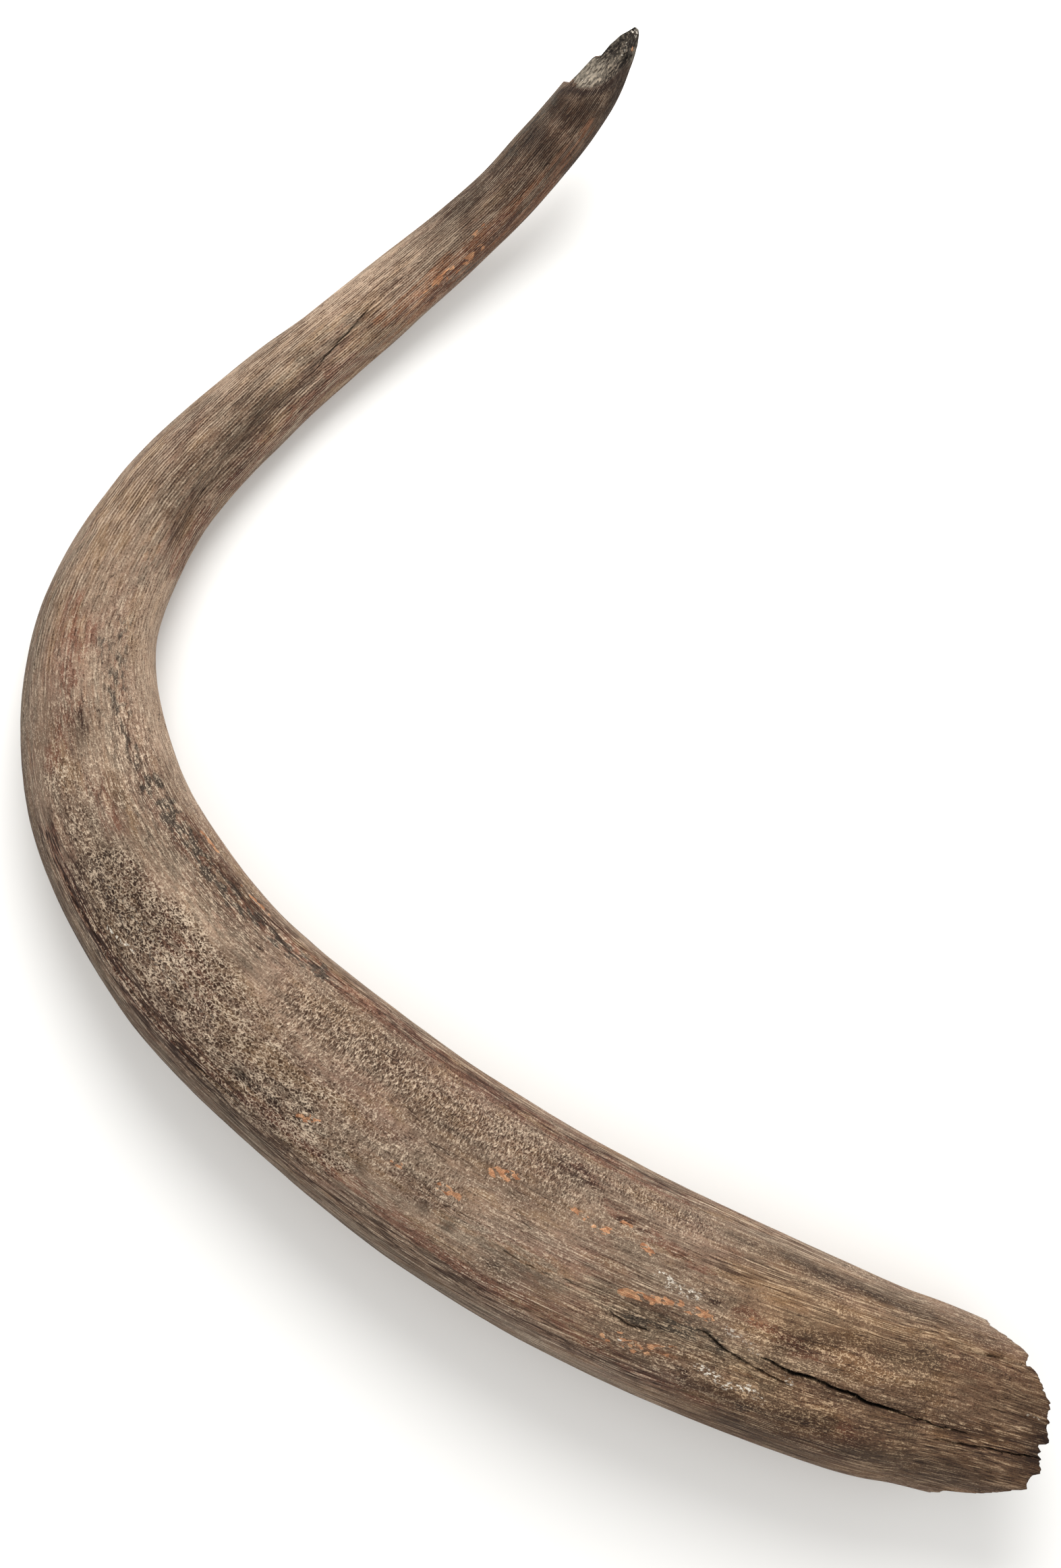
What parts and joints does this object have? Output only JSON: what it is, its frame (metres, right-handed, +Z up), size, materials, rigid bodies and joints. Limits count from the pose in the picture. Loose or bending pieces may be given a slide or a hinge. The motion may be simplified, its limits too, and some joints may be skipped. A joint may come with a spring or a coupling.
{
  "type": "fossil mammoth tusk",
  "caption": "Long curved fossil tusk, weathered brown and grey, hollow and ragged at the root end and snapped off at the tip, lying on its side.",
  "frame": {"origin": "middle of the footprint, on the surface that the tusk lies on", "axes": "+Z up, out of the surface; +Y from the root end towards the tip, along the longest side of the box; +X to the right with the tip away from the viewer"},
  "size_m": [0.757, 1.0764, 0.1498],
  "materials": {
    "fossil_ivory": "matt, weathered and fibrous, with brown, grey and ochre stains"
  },
  "bodies": {
    "root": {"tusk": "fossil_ivory"}
  },
  "joints": []
}
